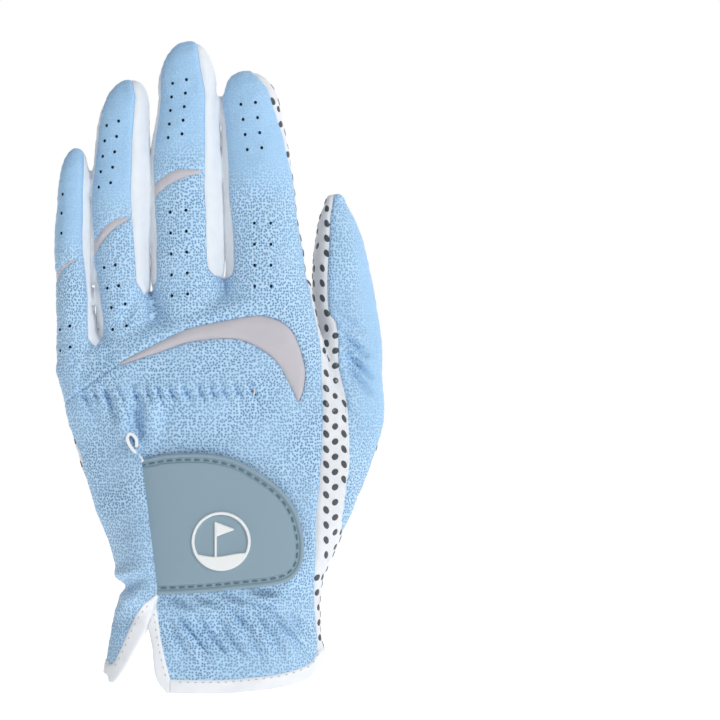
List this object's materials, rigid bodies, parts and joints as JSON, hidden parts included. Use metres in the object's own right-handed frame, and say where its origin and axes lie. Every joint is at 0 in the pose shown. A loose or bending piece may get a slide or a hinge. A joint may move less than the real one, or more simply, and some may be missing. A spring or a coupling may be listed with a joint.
{
  "type": "golf glove",
  "caption": "Left-hand golf glove: perforated leather back, palm fabric with raised grip dots, stretch inserts, side strips in the fingers, taped cuff with a slit and a closing tab.",
  "frame": {"origin": "centre of the cuff's opening, at the height of the lowest point of the hem on the back", "axes": "+Z from the cuff to the fingertips, +X towards the thumb, +Y out of the palm, so the back of the hand faces -Y"},
  "size_m": [0.1088, 0.0389, 0.2152],
  "materials": {
    "blue_leather": "soft matte with fine dark pits",
    "dotted_fabric": "brushed knit with raised dark silicone dots",
    "white_fabric": "matte",
    "stretch_fabric": "matte ribbed",
    "white_tape": "folded tape with a row of stitches",
    "teal_rubber": "moulded satin",
    "thread": "twisted thread",
    "white_rubber": "moulded satin",
    "hook_tape": "hook and loop pile",
    "elastic": "woven"
  },
  "bodies": {
    "hand": {"back_hand_panel": "blue_leather", "knuckle_insert": "stretch_fabric", "palm_panel": "dotted_fabric", "thumb_palm_patch": "dotted_fabric", "heel_patch": "dotted_fabric", "thumb_back_panel": "blue_leather", "hem_binding": "white_tape", "slit_binding": "white_tape", "knuckle_elastic": "elastic", "wrist_back_elastic": "elastic", "wrist_palm_elastic": "elastic", "loop_patch": "hook_tape"},
    "fingers": {"back_finger_panel": "blue_leather", "palm_finger_panel": "dotted_fabric", "fourchette_index_middle": "white_fabric", "fourchette_middle_ring": "white_fabric", "fourchette_ring_pinky": "white_fabric", "middle_flex_insert": "stretch_fabric", "ring_flex_insert": "stretch_fabric", "pinky_flex_insert": "stretch_fabric"},
    "index_tip": {"index_tip_back": "blue_leather", "index_tip_palm": "dotted_fabric", "index_tip_strip": "white_fabric"},
    "middle_tip": {"middle_tip_back": "blue_leather", "middle_tip_palm": "dotted_fabric", "middle_tip_strip_thumbward": "white_fabric", "middle_tip_strip_pinkyward": "white_fabric"},
    "ring_tip": {"ring_tip_back": "blue_leather", "ring_tip_palm": "dotted_fabric", "ring_tip_strip_thumbward": "white_fabric", "ring_tip_strip_pinkyward": "white_fabric"},
    "pinky_tip": {"pinky_tip_back": "blue_leather", "pinky_tip_palm": "dotted_fabric", "pinky_tip_strip": "white_fabric"},
    "thumb_tip": {"thumb_tip_back": "blue_leather", "thumb_tip_palm": "dotted_fabric"},
    "tab": {"tab_body": "teal_rubber", "tab_stitching": "thread", "tab_emblem": "white_rubber", "tab_hook_patch": "hook_tape"}
  },
  "joints": [
    {"name": "knuckle_bend", "type": "hinge", "parent": "hand", "child": "fingers", "pos_m": [-0.0115, 0.005, 0.11607], "axis": [-0.9397, 0, -0.342], "range_deg": [0, 60]},
    {"name": "index_bend", "type": "hinge", "parent": "fingers", "child": "index_tip", "pos_m": [0.01537, 0.00306, 0.165], "axis": [-0.9955, 0, -0.0948], "range_deg": [0, 90]},
    {"name": "middle_bend", "type": "hinge", "parent": "fingers", "child": "middle_tip", "pos_m": [-0.0093, 0.00311, 0.173], "axis": [-0.9998, 0, 0.0193], "range_deg": [0, 90]},
    {"name": "ring_bend", "type": "hinge", "parent": "fingers", "child": "ring_tip", "pos_m": [-0.03123, 0.00296, 0.157], "axis": [-0.9999, 0, 0.0101], "range_deg": [0, 90]},
    {"name": "pinky_bend", "type": "hinge", "parent": "fingers", "child": "pinky_tip", "pos_m": [-0.0469, 0.00258, 0.1436], "axis": [-1, 0, -0.0054], "range_deg": [0, 90]},
    {"name": "thumb_bend", "type": "hinge", "parent": "hand", "child": "thumb_tip", "pos_m": [0.04351, 0.01581, 0.127], "axis": [-0.9945, 0, -0.105], "range_deg": [0, 60]},
    {"name": "tab_open", "type": "hinge", "parent": "hand", "child": "tab", "pos_m": [-0.0208, -0.0134, 0.0543], "axis": [0.0973, 0, -0.9953], "range_deg": [0, 150]}
  ]
}
